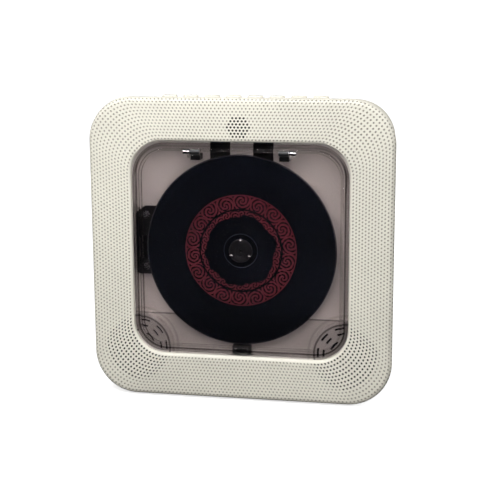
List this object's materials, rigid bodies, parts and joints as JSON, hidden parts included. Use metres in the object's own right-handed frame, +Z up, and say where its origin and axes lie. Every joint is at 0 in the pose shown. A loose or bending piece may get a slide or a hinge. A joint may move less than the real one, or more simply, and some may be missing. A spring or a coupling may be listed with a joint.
{
  "type": "desktop cd player",
  "caption": "Square desktop disc player: dimpled cream front frame, clear hinged lid over an open disc drive, speakers behind the lower corners, push buttons on top, sockets on one side.",
  "frame": {"origin": "middle of the underside, between the feet, on the surface that it stands on", "axes": "+X to the right as seen from the front, -Y out of the front, +Z up"},
  "size_m": [0.19, 0.045, 0.1915],
  "materials": {
    "cream": "fine satin, cream",
    "tray": "satin, cream, seen through the lid",
    "smoke": "clear moulded plastic with a brown-grey tint",
    "black": "satin black",
    "grille": "satin cream",
    "basket": "black pressed steel",
    "paper": "black paper cone",
    "magnet": "dark ferrite and steel",
    "plate": "black pressed plate",
    "damper": "soft black",
    "can": "zinc plated can",
    "steel": "ground steel",
    "pad": "soft black pad",
    "board": "green laminate with solder mask",
    "switch": "black moulding",
    "receiver": "dark window",
    "socket": "black moulding",
    "shell": "plated steel shell",
    "foot": "grey rubber",
    "screw": "plated screw",
    "disc": "printed face, black and dark red",
    "lens": "small blue lens",
    "gear": "natural white moulding",
    "button": "satin cream"
  },
  "bodies": {
    "housing": {"front_bezel": "cream", "rear_shell": "cream", "disc_tray": "tray", "speaker_grille_left": "grille", "speaker_grille_right": "grille", "speaker_frame_left": "basket", "speaker_frame_right": "basket", "speaker_cone_left": "paper", "speaker_cone_right": "paper", "speaker_magnet_left": "magnet", "speaker_magnet_right": "magnet", "mechanism_plate": "plate", "mechanism_dampers": "damper", "spindle_motor": "can", "feed_motor": "can", "guide_rod_upper": "steel", "guide_rod_lower": "steel", "hinge_block_left": "black", "hinge_block_right": "black", "hinge_pin_left": "steel", "hinge_pin_right": "steel", "lid_catch": "black", "disc_pad_left": "pad", "disc_pad_right": "pad", "main_board": "board", "button_board": "board", "button_switches": "switch", "status_board": "board", "remote_receiver": "receiver", "headphone_jack": "socket", "aux_jack": "socket", "usb_socket": "shell", "card_socket": "shell", "power_socket": "shell", "power_switch": "switch", "foot_left": "foot", "foot_right": "foot", "housing_screws": "screw", "small_screws": "screw"},
    "lid": {"dust_lid": "smoke"},
    "spindle": {"motor_shaft": "steel", "turntable_hub": "black", "turntable_ring": "damper", "clamp_balls": "steel", "compact_disc": "disc"},
    "sled": {"laser_sled": "black", "objective_lens": "lens", "sled_rack": "gear"},
    "feed_gear_body": {"feed_gear": "gear"},
    "feed_pinion_body": {"feed_pinion": "gear"},
    "switch_knob": {"power_knob": "button"},
    "button_body_1": {"button_1": "button"},
    "button_body_2": {"button_2": "button"},
    "button_body_3": {"button_3": "button"},
    "button_body_4": {"button_4": "button"},
    "button_body_5": {"button_5": "button"},
    "button_body_6": {"button_6": "button"},
    "button_body_7": {"button_7": "button"},
    "button_body_8": {"button_8": "button"}
  },
  "joints": [
    {"name": "lid_hinge", "type": "hinge", "parent": "housing", "child": "lid", "pos_m": [0, -0.0195, 0.158], "axis": [-1, 0, 0], "range_deg": [0, 85]},
    {"name": "spindle_spin", "type": "hinge", "parent": "housing", "child": "spindle", "pos_m": [0, -0.0105, 0.0965], "axis": [0, 1, 0], "continuous": true},
    {"name": "sled_travel", "type": "slide", "parent": "housing", "child": "sled", "axis": [-1, 0, 0], "range_m": [0, 0.0325]},
    {"name": "feed_gear_turn", "type": "hinge", "parent": "housing", "child": "feed_gear_body", "pos_m": [-0.034, -0.0045, 0.1168], "axis": [0, 1, 0], "range_deg": [-5, 625]},
    {"name": "feed_pinion_turn", "type": "hinge", "parent": "housing", "child": "feed_pinion_body", "pos_m": [-0.02358, -0.0025, 0.12166], "axis": [0, 1, 0], "range_deg": [-2240, 5]},
    {"name": "power_slide", "type": "slide", "parent": "housing", "child": "switch_knob", "axis": [0, 0, 1], "range_m": [0, 0.003]},
    {"name": "button_press_1", "type": "slide", "parent": "housing", "child": "button_body_1", "axis": [0, 0, -1], "range_m": [0, 0.0007], "stiffness_N_per_m": 800},
    {"name": "button_press_2", "type": "slide", "parent": "housing", "child": "button_body_2", "axis": [0, 0, -1], "range_m": [0, 0.0007], "stiffness_N_per_m": 800},
    {"name": "button_press_3", "type": "slide", "parent": "housing", "child": "button_body_3", "axis": [0, 0, -1], "range_m": [0, 0.0007], "stiffness_N_per_m": 800},
    {"name": "button_press_4", "type": "slide", "parent": "housing", "child": "button_body_4", "axis": [0, 0, -1], "range_m": [0, 0.0007], "stiffness_N_per_m": 800},
    {"name": "button_press_5", "type": "slide", "parent": "housing", "child": "button_body_5", "axis": [0, 0, -1], "range_m": [0, 0.0007], "stiffness_N_per_m": 800},
    {"name": "button_press_6", "type": "slide", "parent": "housing", "child": "button_body_6", "axis": [0, 0, -1], "range_m": [0, 0.0007], "stiffness_N_per_m": 800},
    {"name": "button_press_7", "type": "slide", "parent": "housing", "child": "button_body_7", "axis": [0, 0, -1], "range_m": [0, 0.0007], "stiffness_N_per_m": 800},
    {"name": "button_press_8", "type": "slide", "parent": "housing", "child": "button_body_8", "axis": [0, 0, -1], "range_m": [0, 0.0007], "stiffness_N_per_m": 800}
  ],
  "couplings": [
    {"joint": "feed_gear_turn", "follows": "sled_travel", "rad_per_m": 333.33},
    {"joint": "feed_pinion_turn", "follows": "sled_travel", "rad_per_m": -1200}
  ]
}
